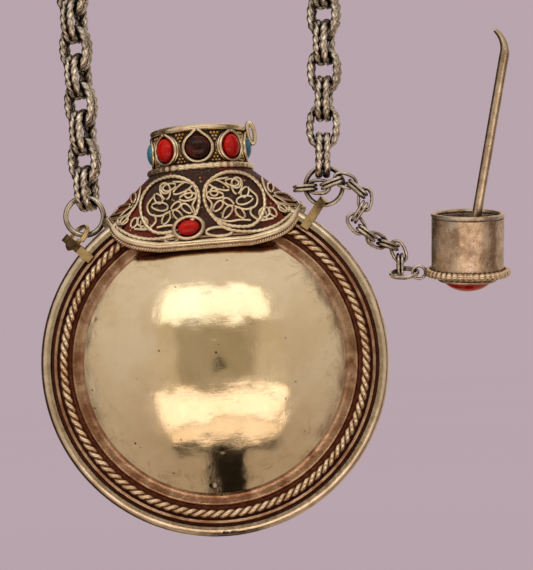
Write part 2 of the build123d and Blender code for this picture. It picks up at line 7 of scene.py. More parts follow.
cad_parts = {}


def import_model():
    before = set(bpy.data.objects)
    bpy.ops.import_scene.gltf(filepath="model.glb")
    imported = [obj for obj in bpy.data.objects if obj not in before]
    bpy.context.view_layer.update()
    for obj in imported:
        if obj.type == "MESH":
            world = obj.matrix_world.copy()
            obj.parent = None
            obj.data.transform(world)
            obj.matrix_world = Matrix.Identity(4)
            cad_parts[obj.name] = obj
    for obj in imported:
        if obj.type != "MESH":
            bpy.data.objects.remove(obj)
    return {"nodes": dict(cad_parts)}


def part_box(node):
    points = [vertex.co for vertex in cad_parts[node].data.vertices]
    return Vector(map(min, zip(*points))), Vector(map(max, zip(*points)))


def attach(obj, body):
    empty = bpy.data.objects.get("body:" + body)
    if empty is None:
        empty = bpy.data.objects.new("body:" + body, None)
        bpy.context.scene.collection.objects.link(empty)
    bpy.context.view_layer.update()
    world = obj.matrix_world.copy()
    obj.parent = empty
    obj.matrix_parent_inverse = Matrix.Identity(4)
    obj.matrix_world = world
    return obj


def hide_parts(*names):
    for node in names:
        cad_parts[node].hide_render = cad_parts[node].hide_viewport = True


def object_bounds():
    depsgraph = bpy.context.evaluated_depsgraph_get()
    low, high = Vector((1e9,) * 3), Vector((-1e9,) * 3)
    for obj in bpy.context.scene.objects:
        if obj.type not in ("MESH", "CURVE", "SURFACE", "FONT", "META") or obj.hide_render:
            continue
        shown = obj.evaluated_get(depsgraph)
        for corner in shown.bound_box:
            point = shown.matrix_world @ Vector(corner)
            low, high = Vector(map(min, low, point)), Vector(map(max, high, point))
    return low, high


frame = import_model()
cad_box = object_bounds()

MM = 0.001
ROLL = 4.5              # degrees the flask leans left in the picture
CAMERA_ELEVATION = -2.0
CAMERA_DISTANCE = 380 * MM
VIEW_HEIGHT = 102.6 * MM
VIEW_CENTRE = Vector((10.2, 0, 13.1)) * MM
SENSOR = 36
BACKGROUND = (0.485, 0.375, 0.42)
LAMP_AIM = (0, 0, 0.01)

scene = bpy.context.scene
nodes = frame["nodes"]


# --- materials -------------------------------------------------------------------------------

POLISHED, CLOUDED = (0.90, 0.79, 0.58), (0.80, 0.67, 0.45)
# The dome's dark brown for its hollows is painted shade; the smear and the specks are stains and pits.
SMEAR, PAINTED_DOME_SHADE, SPECK = (0.36, 0.20, 0.10), (0.20, 0.09, 0.05), (0.12, 0.07, 0.04)
TARNISH, RED_TARNISH, TARNISH_GRAIN = (0.040, 0.022, 0.018), (0.15, 0.013, 0.008), (0.17, 0.10, 0.07)
PEWTER_WORN, PEWTER_DULL, PEWTER_GREY = (0.72, 0.59, 0.46), (0.36, 0.25, 0.17), (0.60, 0.56, 0.54)
PEWTER_STAIN, PEWTER_RECESS = (0.085, 0.040, 0.020), (0.045, 0.022, 0.012)
CORAL_RED, CORAL_DEEP = (0.37, 0.004, 0.002), (0.27, 0.003, 0.002)
GARNET_BLACK, GARNET_RED = (0.006, 0.001, 0.001), (0.09, 0.010, 0.004)
TURQUOISE_BLUE, TURQUOISE_GREEN, VEIN = (0.02, 0.13, 0.24), (0.04, 0.20, 0.22), (0.03, 0.025, 0.02)
SMEAR_FROM, SMEAR_TO = 17.0, 23.6       # radii of the dome between which stains build up, mm
RED_FROM, RED_TO = 8.5, 12.5            # distances from the collar's middle where it turns red, mm


class Shader:
    """Builds one node material, or the world, with short calls for the nodes it needs."""

    def __init__(self, tree):
        self.tree = tree
        self.tree.nodes.clear()
        self.place = None

    def node(self, kind, values=(), **settings):
        made = self.tree.nodes.new(kind)
        for key, value in settings.items():
            setattr(made, key, value)
        for key, value in dict(values).items():
            self.feed(made.inputs[key], value)
        return made

    def feed(self, socket, value):
        if isinstance(value, bpy.types.NodeSocket):
            self.tree.links.new(value, socket)
        elif isinstance(value, tuple) and len(value) == 3 and socket.type == "RGBA":
            socket.default_value = (*value, 1)
        else:
            socket.default_value = value

    def coords(self, stretch=(1, 1, 1), turn=(0, 0, 0)):
        """Object coordinates in millimetres, stretched and turned."""
        if self.place is None:
            self.place = self.node("ShaderNodeTexCoord").outputs["Object"]
        scale = tuple(s / MM for s in stretch)
        values = {"Vector": self.place, "Scale": scale, "Rotation": turn}
        return self.node("ShaderNodeMapping", values).outputs[0]

    def noise(self, scale, detail=4.0, rough=0.55, stretch=(1, 1, 1), turn=(0, 0, 0), warp=0.0):
        """Noise with features about 1 / scale millimetres across."""
        values = {"Vector": self.coords(stretch, turn), "Scale": scale, "Detail": detail}
        values.update({"Roughness": rough, "Distortion": warp})
        return self.node("ShaderNodeTexNoise", values).outputs["Fac"]

    def cells(self, scale, feature="F1"):
        values = {"Vector": self.coords(), "Scale": scale}
        return self.node("ShaderNodeTexVoronoi", values, feature=feature).outputs["Distance"]

    def ramp(self, value, low, high, out_low=0.0, out_high=1.0):
        values = {"Value": value, "From Min": low, "From Max": high}
        values.update({"To Min": out_low, "To Max": out_high})
        kind = "SMOOTHSTEP" if (out_low, out_high) == (0.0, 1.0) else "LINEAR"
        return self.node("ShaderNodeMapRange", values, interpolation_type=kind).outputs[0]

    def maths(self, operation, a, b=0.0):
        made = self.node("ShaderNodeMath", {0: a, 1: b}, operation=operation)
        return made.outputs[0]

    def mix(self, factor, a, b):
        made = self.node("ShaderNodeMix", data_type="RGBA")
        self.feed(made.inputs[0], factor)
        self.feed(made.inputs[6], a)
        self.feed(made.inputs[7], b)
        return made.outputs[2]

    def hollow(self, reach):
        """1 in hollows and where pieces meet, 0 in the open. reach is in millimetres."""
        made = self.node("ShaderNodeAmbientOcclusion", {"Distance": reach * MM}, samples=6)
        return self.maths("SUBTRACT", 1.0, made.outputs["AO"])

    def bump(self, height, depth, normal=None):
        """A bump of a height map, depth in millimetres."""
        values = {"Height": height, "Distance": depth * MM, "Strength": 1.0}
        if normal is not None:
            values["Normal"] = normal
        return self.node("ShaderNodeBump", values).outputs[0]

    def surface(self, **values):
        inputs = {key.replace("_", " "): value for key, value in values.items()}
        made = self.node("ShaderNodeBsdfPrincipled", inputs)
        out = self.node("ShaderNodeOutputMaterial")
        self.tree.links.new(made.outputs[0], out.inputs[0])


def material(name):
    """A new node material and the shader that builds it."""
    made = bpy.data.materials.new(name)
    made.use_nodes = True
    return made, Shader(made.node_tree)


def worn_metal(name, bright, dull, patina, rough, reach=1.2, stain=0.35, dents=0.02, grain=0.006):
    """Metal with tone variation, fine scratches, soft dents, and patina left in its hollows."""
    made, s = material(name)
    tone = s.mix(s.ramp(s.noise(0.35, warp=0.6), 0.35, 0.7), bright, dull)
    hollow = s.hollow(reach)
    broken = s.maths("MULTIPLY", hollow, s.ramp(s.noise(2.2), 0.2, 0.7, 0.7, 1.5))
    dark = s.ramp(broken, stain, stain + 0.4)
    spots = s.ramp(s.noise(1.1, 6, 0.7), 0.62, 0.74)
    dark = s.maths("MAXIMUM", dark, s.maths("MULTIPLY", spots, 0.35))
    colour = s.mix(dark, tone, patina)
    scratch = s.noise(5.0, 3, 0.6, stretch=(0.12, 1, 1), turn=(0.3, 0.2, 0.9))
    gloss = s.ramp(s.noise(0.9, 5), 0.3, 0.7, rough - 0.07, rough + 0.1)
    gloss = s.maths("ADD", gloss, s.maths("MULTIPLY", dark, 0.35))
    normal = s.bump(s.noise(0.22, 2), dents * 4)
    normal = s.bump(s.noise(1.6, 3), dents, normal)
    normal = s.bump(scratch, grain, normal)
    metallic = s.ramp(dark, 0.2, 1.0, 1.0, 0.55)
    s.surface(Base_Color=colour, Metallic=metallic, Roughness=gloss, Normal=normal)
    return made


def dome_metal():
    """The polished face: warm silver with fine scratches, cloudy wear, pits, stains at its edge, and
    painted shade in its hollows.
    """
    made, s = material("polished_silver")
    tone = s.mix(s.ramp(s.noise(0.09, 5, 0.6), 0.35, 0.68), POLISHED, CLOUDED)
    x, _, z = s.node("ShaderNodeSeparateXYZ", {0: s.coords()}).outputs
    reach = s.maths("SQRT", s.maths("ADD", s.maths("MULTIPLY", x, x), s.maths("MULTIPLY", z, z)))
    blots = s.ramp(s.noise(0.3, 6, 0.7, warp=1.2), 0.5, 0.72)
    smear = s.maths("MULTIPLY", s.ramp(reach, SMEAR_FROM, SMEAR_TO), blots)
    tone = s.mix(s.maths("MULTIPLY", smear, 0.55), tone, SMEAR)
    # Painted shade: dark brown where the dome lies in hollows, at its foot and where other pieces meet
    # it.
    tone = s.mix(s.ramp(s.hollow(3.0), 0.25, 0.75), tone, PAINTED_DOME_SHADE)
    specks = s.ramp(s.cells(0.42), 0.12, 0.05)
    rare = s.ramp(s.noise(0.16, 2), 0.52, 0.60)
    tone = s.mix(s.maths("MULTIPLY", specks, rare), tone, SPECK)
    clouds = s.noise(0.25, 7, 0.65, warp=0.8)
    scratch = s.noise(1.7, 4, 0.7, stretch=(0.05, 1, 1), turn=(0.1, 0.6, 0.2))
    across = s.noise(2.3, 4, 0.7, stretch=(1, 1, 0.05), turn=(0.3, 0.9, 0.1))
    gloss = s.ramp(clouds, 0.3, 0.75, 0.08, 0.17)
    gloss = s.maths("ADD", gloss, s.ramp(scratch, 0.58, 0.8, 0.0, 0.10))
    normal = s.bump(s.noise(0.09, 2), 0.45)
    normal = s.bump(s.noise(0.5, 2), 0.02, normal)
    normal = s.bump(s.maths("MAXIMUM", scratch, across), 0.014, normal)
    normal = s.bump(s.ramp(s.cells(0.21), 0.0, 0.16), 0.03, normal)
    s.surface(Base_Color=tone, Metallic=1.0, Roughness=gloss, Normal=normal)
    return made


def stone_material(name, colour, shade, gloss, veins=None, clouding=0.8):
    """A polished stone with clouded colour, a few veins and faint surface pits."""
    made, s = material(name)
    tone = s.mix(s.ramp(s.noise(clouding, 5, warp=0.8), 0.35, 0.7), colour, shade)
    if veins:
        lines = s.ramp(s.cells(0.9, "DISTANCE_TO_EDGE"), 0.06, 0.0)
        tone = s.mix(s.maths("MULTIPLY", lines, 0.7), tone, veins)
    normal = s.bump(s.noise(1.4, 3), 0.012)
    rough = s.ramp(s.noise(2.5), 0.3, 0.7, gloss, gloss + 0.08)
    s.surface(Base_Color=tone, Roughness=rough, Normal=normal, Specular_IOR_Level=0.28)
    return made


def ground_material():
    """The collar's ground: dark tarnish with a granular skin and worn red in places."""
    made, s = material("collar_ground")
    x = s.node("ShaderNodeSeparateXYZ", {0: s.coords()}).outputs[0]
    sides = s.ramp(s.maths("ABSOLUTE", x), RED_FROM, RED_TO)
    red = s.maths("MAXIMUM", s.ramp(s.noise(0.16, 3), 0.50, 0.68), s.maths("MULTIPLY", sides, 0.9))
    tone = s.mix(red, TARNISH, RED_TARNISH)
    tone = s.mix(s.ramp(s.noise(2.8, 4), 0.56, 0.72), tone, TARNISH_GRAIN)
    normal = s.bump(s.noise(3.2, 4), 0.12)
    rough = s.ramp(s.noise(2.0), 0.3, 0.7, 0.42, 0.75)
    s.surface(Base_Color=tone, Metallic=0.45, Roughness=rough, Normal=normal)
    return made


def pewter_material():
    """Grey-brown metal of the stopper: a bright worn skin with blotches, pits and dark stains."""
    made, s = material("pewter")
    tone = s.mix(s.ramp(s.noise(0.33, 6, 0.7), 0.35, 0.68), PEWTER_WORN, PEWTER_DULL)
    grey = s.ramp(s.noise(0.2, 3), 0.55, 0.68)
    tone = s.mix(s.maths("MULTIPLY", grey, 0.6), tone, PEWTER_GREY)
    stains = s.ramp(s.noise(0.9, 8, 0.75), 0.58, 0.70)
    tone = s.mix(s.maths("MULTIPLY", stains, 0.7), tone, PEWTER_STAIN)
    tone = s.mix(s.ramp(s.hollow(1.6), 0.3, 0.7), tone, PEWTER_RECESS)
    pits = s.ramp(s.cells(1.1), 0.0, 0.3)
    normal = s.bump(pits, 0.04)
    normal = s.bump(s.noise(0.5, 3), 0.10, normal)
    normal = s.bump(s.noise(3.0, 4), 0.02, normal)
    rough = s.ramp(s.noise(1.2, 5), 0.3, 0.7, 0.20, 0.42)
    s.surface(Base_Color=tone, Metallic=0.95, Roughness=rough, Normal=normal)
    return made


SILVER = dome_metal()
RIM = worn_metal("worn_silver", (0.84, 0.74, 0.60), (0.62, 0.50, 0.38), (0.11, 0.05, 0.03), 0.20)
LEDGE = worn_metal(
    "stained_ledge", (0.58, 0.40, 0.28), (0.30, 0.15, 0.09), (0.09, 0.025, 0.015), 0.26,
    reach=1.0, stain=0.12, dents=0.06,
)
WIRE = worn_metal(
    "silver_wire", (0.92, 0.82, 0.64), (0.72, 0.60, 0.42), (0.08, 0.03, 0.02), 0.26, reach=0.8
)
ROPE = worn_metal(
    "rope_wire", (0.88, 0.74, 0.55), (0.66, 0.46, 0.30), (0.13, 0.035, 0.02), 0.22, reach=0.9, stain=0.16
)
CHAIN = worn_metal(
    "antique_silver", (0.82, 0.76, 0.68), (0.44, 0.38, 0.33), (0.014, 0.009, 0.007), 0.18,
    reach=1.8, stain=0.06, dents=0.035, grain=0.01,
)
BRASS = worn_metal("brass_strip", (0.78, 0.62, 0.34), (0.56, 0.41, 0.20), (0.12, 0.05, 0.02), 0.26)
GOLD = worn_metal(
    "gilt_grain", (0.68, 0.50, 0.22), (0.40, 0.26, 0.10), (0.10, 0.03, 0.02), 0.35, reach=0.8
)
# The channel's dark brown is partly stain and partly painted shade, for the recess it lies in.
CHANNEL_STAIN_AND_SHADE = worn_metal(
    "stained_and_shaded_channel", (0.42, 0.16, 0.08), (0.24, 0.07, 0.04), (0.10, 0.024, 0.014), 0.38,
    reach=1.3, stain=0.3, dents=0.08,
)
STAINED_WIRE = worn_metal(
    "stained_wire", (0.66, 0.48, 0.34), (0.38, 0.20, 0.12), (0.10, 0.028, 0.018), 0.26,
    reach=0.9, stain=0.12,
)
STEM = worn_metal("spoon_silver", (0.66, 0.57, 0.46), (0.38, 0.29, 0.21), (0.07, 0.03, 0.02), 0.2)
PEWTER = pewter_material()
GROUND = ground_material()
CORAL = stone_material("coral", CORAL_RED, CORAL_DEEP, 0.06)
GARNET = stone_material("garnet", GARNET_BLACK, GARNET_RED, 0.02, clouding=0.5)
TURQUOISE = stone_material("turquoise", TURQUOISE_BLUE, TURQUOISE_GREEN, 0.2, VEIN)


# --- mesh tools ------------------------------------------------------------------------------


def piece(name, verts, faces, finish, body, replaced=()):
    """One finished mesh piece that rides on a body."""
    mesh = bpy.data.meshes.new(name)
    mesh.from_pydata([tuple(v) for v in verts], [], faces)
    mesh.update()
    mesh.shade_smooth()
    made = bpy.data.objects.new(name, mesh)
    scene.collection.objects.link(made)
    mesh.materials.append(finish)
    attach(made, body)
    if replaced:
        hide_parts(*replaced)
    return made


def unit(v):
    v = np.asarray(v, float)
    return v / np.maximum(np.linalg.norm(v, axis=-1, keepdims=True), 1e-12)


def tangents(path, closed):
    if closed:
        return unit(np.roll(path, -1, 0) - np.roll(path, 1, 0))
    return unit(np.gradient(path, axis=0))


def steps_along(path):
    """Distance along a path at each of its points."""
    return np.concatenate([[0], np.cumsum(np.linalg.norm(np.diff(path, axis=0), axis=1))])


class Mesh:
    """Vertices and faces collected from several sweeps and caps."""

    def __init__(self):
        self.verts = []
        self.faces = []

    def grid(self, rows, closed_rows, closed_columns):
        """Joins rows of points into quads."""
        start = len(self.verts)
        count, width = rows.shape[:2]
        self.verts.extend(rows.reshape(-1, 3))
        for i in range(count if closed_rows else count - 1):
            for j in range(width if closed_columns else width - 1):
                a, b = start + i * width, start + (i + 1) % count * width
                k = (j + 1) % width
                self.faces.append((a + j, b + j, b + k, a + k))
        return start

    def cap(self, ring_start, width, flip):
        ring = list(range(ring_start, ring_start + width))
        self.faces.append(tuple(ring[::-1] if flip else ring))

    def sweep(self, path, up, radius, closed=False, sides=10, flat=1.0, ripple=None):
        """A wire along a path. up is a direction, or one per point, that is never along the path.

        flat squeezes the wire along up. ripple is (depth, lobes, pitch): a relief that winds round it.
        """
        path = np.asarray(path, float)
        ahead = tangents(path, closed)
        up = np.broadcast_to(np.asarray(up, float), path.shape)
        up = unit(up - (up * ahead).sum(-1, keepdims=True) * ahead)
        across = np.cross(ahead, up)
        turn = np.arange(sides) * tau / sides
        radius = np.broadcast_to(np.asarray(radius, float), (len(path),))[:, None]
        reach = radius * np.ones((1, sides))
        if ripple:
            depth, lobes, pitch = ripple
            along = steps_along(path)
            total = along[-1] + (np.linalg.norm(path[0] - path[-1]) if closed else 0)
            waves = max(1, round(total / pitch))
            phase = along / total * waves * tau
            reach = reach * (1 + depth * np.cos(lobes * turn[None] + phase[:, None]))
        rows = (
            path[:, None]
            + across[:, None] * (reach * np.cos(turn))[..., None]
            + up[:, None] * (reach * flat * np.sin(turn))[..., None]
        )
        start = self.grid(rows, closed, True)
        if not closed:
            self.cap(start, sides, False)
            self.cap(start + (len(path) - 1) * sides, sides, True)

    def rope(self, path, up, strand, pitch, closed=False, sides=8, strands=2, spread=1.0):
        """Wires twisted together along a path."""
        path = np.asarray(path, float)
        ahead = tangents(path, closed)
        up = np.broadcast_to(np.asarray(up, float), path.shape)
        up = unit(up - (up * ahead).sum(-1, keepdims=True) * ahead)
        across = np.cross(ahead, up)
        along = steps_along(path)
        total = along[-1] + (np.linalg.norm(path[0] - path[-1]) if closed else 0)
        phase = along / total * max(1, round(total / pitch)) * tau
        for n in range(strands):
            angle = (phase + n * tau / strands)[:, None]
            wound = path + strand * spread * (across * np.cos(angle) + up * np.sin(angle))
            self.sweep(wound, up, strand, closed, sides)

    def cabochon(self, centre, out, right, half_width, half_height, rise, sink=0.0):
        """A domed oval stone that stands on a plane and bulges along out."""
        out, right = unit(out), unit(right)
        up = np.cross(out, right)
        rings, sides = 14, 40
        turn = np.arange(sides) * tau / sides
        rows = []
        for k in range(rings + 1):
            slope = pi / 2 * (k / rings) ** 0.9
            spread = max(cos(slope), 0.01)
            level = rise * sin(slope)
            rows.append(
                centre + out * level
                + right * (half_width * spread * np.cos(turn))[:, None]
                + up * (half_height * spread * np.sin(turn))[:, None]
            )
        foot = rows[0] - out * sink
        start = self.grid(np.array([foot, *rows]), False, True)
        self.cap(start, sides, True)
        self.cap(start + (rings + 1) * sides, sides, False)

    def make(self, name, finish, body, slot, replaced=()):
        return piece(name, self.verts, self.faces, finish, body, replaced)


def vertices(node):
    """A CAD node's vertices at rest, in metres."""
    mesh = nodes[node].data
    points = np.empty(len(mesh.vertices) * 3)
    mesh.vertices.foreach_get("co", points)
    turn = np.array(nodes[node].matrix_world)
    return points.reshape(-1, 3) @ turn[:3, :3].T + turn[:3, 3]


def loose_parts(node):
    """The vertices of each separate solid in a CAD node."""
    mesh = nodes[node].data
    points = vertices(node)
    keys = {}
    parent = []
    index = []
    for p in points:
        key = tuple(np.round(p / (0.002 * MM)).astype(int))
        if key not in keys:
            keys[key] = len(parent)
            parent.append(len(parent))
        index.append(keys[key])

    def root(n):
        while parent[n] != n:
            parent[n] = parent[parent[n]]
            n = parent[n]
        return n

    for face in mesh.polygons:
        corners = [root(index[v]) for v in face.vertices]
        for c in corners[1:]:
            parent[root(c)] = root(corners[0])
    groups = {}
    for v, key in enumerate(index):
        groups.setdefault(root(key), []).append(v)
    return [points[rows] for rows in groups.values()]


def axes_of(points):
    """Centre of a point set, its three main directions (longest first) and half sizes along them."""
    centre = (points.max(0) + points.min(0)) / 2
    _, _, turn = np.linalg.svd(points - points.mean(0), full_matrices=False)
    for _ in range(2):
        local = (points - centre) @ turn.T
        centre = centre + ((local.max(0) + local.min(0)) / 2) @ turn
    local = (points - centre) @ turn.T
    half = (local.max(0) - local.min(0)) / 2
    return centre, turn, half


def circle(centre, right, up, radius, count):
    turn = np.arange(count) * tau / count
    return centre + radius * (np.outer(np.cos(turn), right) + np.outer(np.sin(turn), up))


# --- flask body ------------------------------------------------------------------------------


DOME_ROWS = 70
ROUND_STEPS = 300
DOME_R = 23.7            # radius of the dome's foot, mm
DOME_FOOT = 4.4          # height of the dome's foot and the ledge above the flask's middle plane
LEDGE_R = 25.4           # outer radius of the ledge
CHANNEL_FLOOR = 3.4
CHANNEL_R = 29.15
DOME_CORNER = ((-0.12, 0.12), (0.10, 0.02), (0.50, 0.0))     # steps out and up from the dome's foot
LEDGE_CORNER = ((-0.12, -0.03), (-0.02, -0.14), (0.0, -0.40))
CHANNEL_CORNER = ((0.0, 0.25), (0.12, 0.06), (0.40, 0.0))
CHANNEL_ROWS = 6         # rows of the profile that belong to the channel
SWELL = 0.018            # unevenness of the hammered dome, mm
SWELL_R, SWELL_FADE = 23, 6


def shell_profile():
    """Half of the front shell's section as (radius, height) in millimetres, from the axis outwards."""
    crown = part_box("front_shell")[0][1] / -MM
    rise = crown - DOME_FOOT
    ball = (DOME_R**2 + rise**2) / (2 * rise)
    dome = np.linspace(0.02, DOME_R - DOME_CORNER[2][0], DOME_ROWS)
    points = [(r, crown - ball + sqrt(ball**2 - r**2)) for r in dome]
    points += [(DOME_R + out, DOME_FOOT + up) for out, up in DOME_CORNER]
    points += [(r, DOME_FOOT) for r in np.linspace(DOME_R + 0.8, LEDGE_R - 0.35, 5)]
    points += [(LEDGE_R + out, DOME_FOOT + up) for out, up in LEDGE_CORNER]
    points += [(LEDGE_R + out, CHANNEL_FLOOR + up) for out, up in CHANNEL_CORNER]
    points += [(CHANNEL_R, CHANNEL_FLOOR)]
    return np.array(points)


def faces_of_flask():
    """The two stamped shells: a polished, slightly uneven dome, a ledge, and a channel in brown stain and
    painted shade.
    """
    profile = shell_profile()
    turn = np.arange(ROUND_STEPS) * tau / ROUND_STEPS
    for word, side in (("front", -1), ("back", 1)):
        skin, ledge, channel = Mesh(), Mesh(), Mesh()
        radius = profile[:, 0][:, None]
        x, z = radius * np.cos(turn), radius * np.sin(turn)
        swell = np.sin(x / 5.3 + 0.7) * np.cos(z / 6.1 + 0.4) + 0.6 * np.sin(x / 3.1 - z / 3.7)
        fade = np.clip((SWELL_R - radius) / SWELL_FADE, 0, 1)
        y = side * (profile[:, 1][:, None] + SWELL * swell * fade)
        rows = np.stack([x, y * np.ones_like(x), z], -1) * MM
        if side > 0:
            rows = rows[:, ::-1]
        split = len(profile) - CHANNEL_ROWS
        skin.grid(rows[:DOME_ROWS], False, True)
        skin.cap(0, ROUND_STEPS, False)
        ledge.grid(rows[DOME_ROWS - 1 : split + 1], False, True)
        channel.grid(rows[split:], False, True)
        skin.make(f"{word}_face", SILVER, "flask", "silver", (f"{word}_shell",))
        ledge.make(f"{word}_ledge", LEDGE, "flask", "silver")
        # The channel is coloured with stain and painted shade.
        channel.make(f"{word}_channel", CHANNEL_STAIN_AND_SHADE, "flask", "silver")


LIP_LOOP_SINK = np.array((0.35, 0, 0.9)) * MM      # from the CAD loop's centre to the finished one's
LIP_LOOP_HALF, LIP_LOOP_TALL = (0.62, 0, 0.1), (-0.2, 0, 1.9)
LIP_LOOP_WIRE = 0.42 * MM


def lip_loop():
    """The wire loop soldered upright to the end of the neck's lip."""
    low, high = (np.array(c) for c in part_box("lip_loop"))
    path = circle((low + high) / 2 - LIP_LOOP_SINK, LIP_LOOP_HALF, LIP_LOOP_TALL, MM, 60)
    made = Mesh()
    made.sweep(path, (0, 1, 0), LIP_LOOP_WIRE, True, 12)
    made.make("lip_wire_loop", WIRE, "flask", "silver", ("lip_loop",))


ROPE_STEPS = 1100
ROPE_PITCH = 3.3 * MM
ROPE_STRAND = 0.27       # a strand's radius as a share of the rope's thickness
ROPE_SPREAD = 0.85


def rope_rims():
    """The twisted wires in the channel round each face."""
    for word in ("front", "back"):
        low, high = (np.array(c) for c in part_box(f"{word}_rope_wire"))
        wire = high[1] - low[1]
        radius = (high[0] - low[0] - wire) / 2
        centre = (low + high) / 2
        path = circle(centre, np.array((1, 0, 0)), np.array((0, 0, 1)), radius, ROPE_STEPS)
        made = Mesh()
        strand = wire * ROPE_STRAND
        made.rope(path, (0, 1, 0), strand, ROPE_PITCH, closed=True, sides=9, spread=ROPE_SPREAD)
        made.make(f"{word}_rope", ROPE, "flask", "silver", (f"{word}_rope_wire",))


SADDLE_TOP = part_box("collar")[1][2]
SADDLE_R = 9.3                       # radius of the collar's round top, mm
FLARE, FLARE_EASE = 1.22, 0.018      # how fast the collar widens going down, and how that eases off
TAPER, TAPER_EASE = 0.28, 0.011      # how fast it gets thinner from front to back


def saddle(x, z, lift=0.0, side=-1):
    """A point on the collar's outer surface, in metres from millimetres, and its outward direction."""
    drop = SADDLE_TOP / MM - z
    wide = SADDLE_R + FLARE * drop - FLARE_EASE * drop**2
    deep = SADDLE_R - TAPER * drop + TAPER_EASE * drop**2
    x = np.clip(x, -0.9995 * wide, 0.9995 * wide)
    y = side * deep * np.sqrt(1 - (x / wide) ** 2)
    slope_wide = FLARE - 2 * FLARE_EASE * drop
    slope_deep = -TAPER + 2 * TAPER_EASE * drop
    out = np.stack(
        [x / wide**2, y / deep**2, x**2 / wide**3 * slope_wide + y**2 / deep**3 * slope_deep], -1
    )
    out = unit(out)
    return (np.stack([x, y, z], -1) + out * lift) * MM, out


def smooth_path(points, count, closed=False):
    """A smooth curve through a few points (Catmull-Rom)."""
    p = np.asarray(points, float)
    if closed:
        p = np.vstack([p[-1], p, p[:2]])
    else:
        p = np.vstack([2 * p[0] - p[1], p, 2 * p[-1] - p[-2]])
    spans = len(p) - 3
    t = np.linspace(0, spans, count, endpoint=not closed)
    k = np.minimum(t.astype(int), spans - 1)
    f = (t - k)[:, None]
    a, b, c, d = p[k], p[k + 1], p[k + 2], p[k + 3]
    bend, twist = 2 * a - 5 * b + 4 * c - d, 3 * b - a - 3 * c + d
    return 0.5 * (2 * b + (c - a) * f + bend * f**2 + twist * f**3)


def leaf(x, z, length, width, angle):
    """A narrow loop of wire that starts at a point and comes nearly back to it."""
    turn = np.linspace(0.0, tau - 0.25, 26)
    along = length / 2 * (1 - np.cos(turn))
    across = width * 0.62 * np.sin(turn) * (0.72 + 0.28 * along / length)
    a = radians(angle)
    return np.stack([x + along * cos(a) - across * sin(a), z + along * sin(a) + across * cos(a)], -1)


def curl(x, z, radius, angle, turns=1.05):
    """An open ring of wire whose end winds a little inside its start."""
    t = np.linspace(0, 1, 34)
    r = radius * (1 - 0.3 * t)
    a = radians(angle) + t * turns * tau
    start = radius * np.array((cos(radians(angle)), sin(radians(angle))))
    return np.stack([x + r * np.cos(a), z + r * np.sin(a)], -1) - start


# Wires on the collar's right half: their courses in x and z, in millimetres
LOBE = ((4.4, 33.2), (1.2, 31.6), (0.45, 28.9), (1.5, 26.0), (4.3, 23.9), (8.4, 23.6), (10.6, 26.0),
        (10.6, 29.6), (8.2, 32.4))
TAIL = ((1.6, 25.7), (4.0, 23.3), (8.4, 22.5), (12.4, 23.2), (15.6, 25.2))
PETAL = ((10.6, 31.9), (11.0, 30.2), (11.6, 28.9), (13.4, 27.2), (16.6, 26.6))
HOOK = ((-4.6, 22.1), (-5.6, 21.6), (-7.0, 22.0), (-6.6, 23.0), (-5.4, 23.1))
SPINES = (
    ((4.9, 32.3), (2.0, 31.9), (0.95, 30.6), (1.0, 29.2), (1.7, 27.9), (1.4, 26.7), (2.4, 25.3),
     (4.3, 24.6), (6.4, 24.7), (8.3, 24.5)),
    ((8.2, 30.2), (9.6, 28.6), (9.3, 27.0), (7.5, 26.5), (5.6, 27.2)),
    ((8.6, 26.9), (8.4, 25.6), (10.0, 24.4), (12.3, 24.6)),
)
# Leaves: x, z, length, width and angle in degrees; curls: x, z, radius and angle
LEAVES = (
    (4.9, 30.2, 3.9, 1.3, 154), (3.9, 29.2, 3.0, 1.2, 172), (6.2, 29.3, 2.9, 1.7, 88),
    (8.9, 28.4, 2.9, 1.35, 190), (5.5, 27.4, 2.1, 0.95, 146), (1.9, 26.6, 2.3, 1.1, 44),
    (3.5, 25.2, 2.6, 1.1, 52), (7.2, 25.0, 2.3, 1.1, 124), (8.1, 30.4, 1.9, 1.2, 240),
    (4.3, 31.7, 2.4, 1.1, -14), (10.9, 24.4, 2.0, 1.1, 112), (12.8, 24.9, 1.9, 1.0, 126),
    (14.7, 25.7, 1.7, 0.95, 140),
)
CURLS = ((9.9, 25.5, 1.0, 200), (7.2, 31.5, 1.0, 20), (2.7, 30.6, 0.8, 60))
FAN = ((12.2, 29.3, 1.7, 0.95, 96), (12.7, 28.9, 4.2, 1.15, -14), (12.4, 28.5, 4.0, 1.1, -44))


OUTLINE_WIRE, TAIL_WIRE, PETAL_WIRE = 0.36, 0.34, 0.30      # wire radii, mm
SPINE_WIRE, CURL_WIRE = 0.25, 0.23
OUTLINE_LIFT, SPINE_LIFT, CURL_LIFT = 0.34, 0.26, 0.25     # heights of their middles over the ground
OVAL_AT, OVAL_HALF = (2.6, 22.9), (2.3, 0.8)               # the long loop beside the coral
HOOK_WIRE, HOOK_LIFT = 0.26, 0.28
GRAIN_TRIES, GRAIN_R, GRAIN_RISE = 90, 0.2 * MM, 0.16 * MM


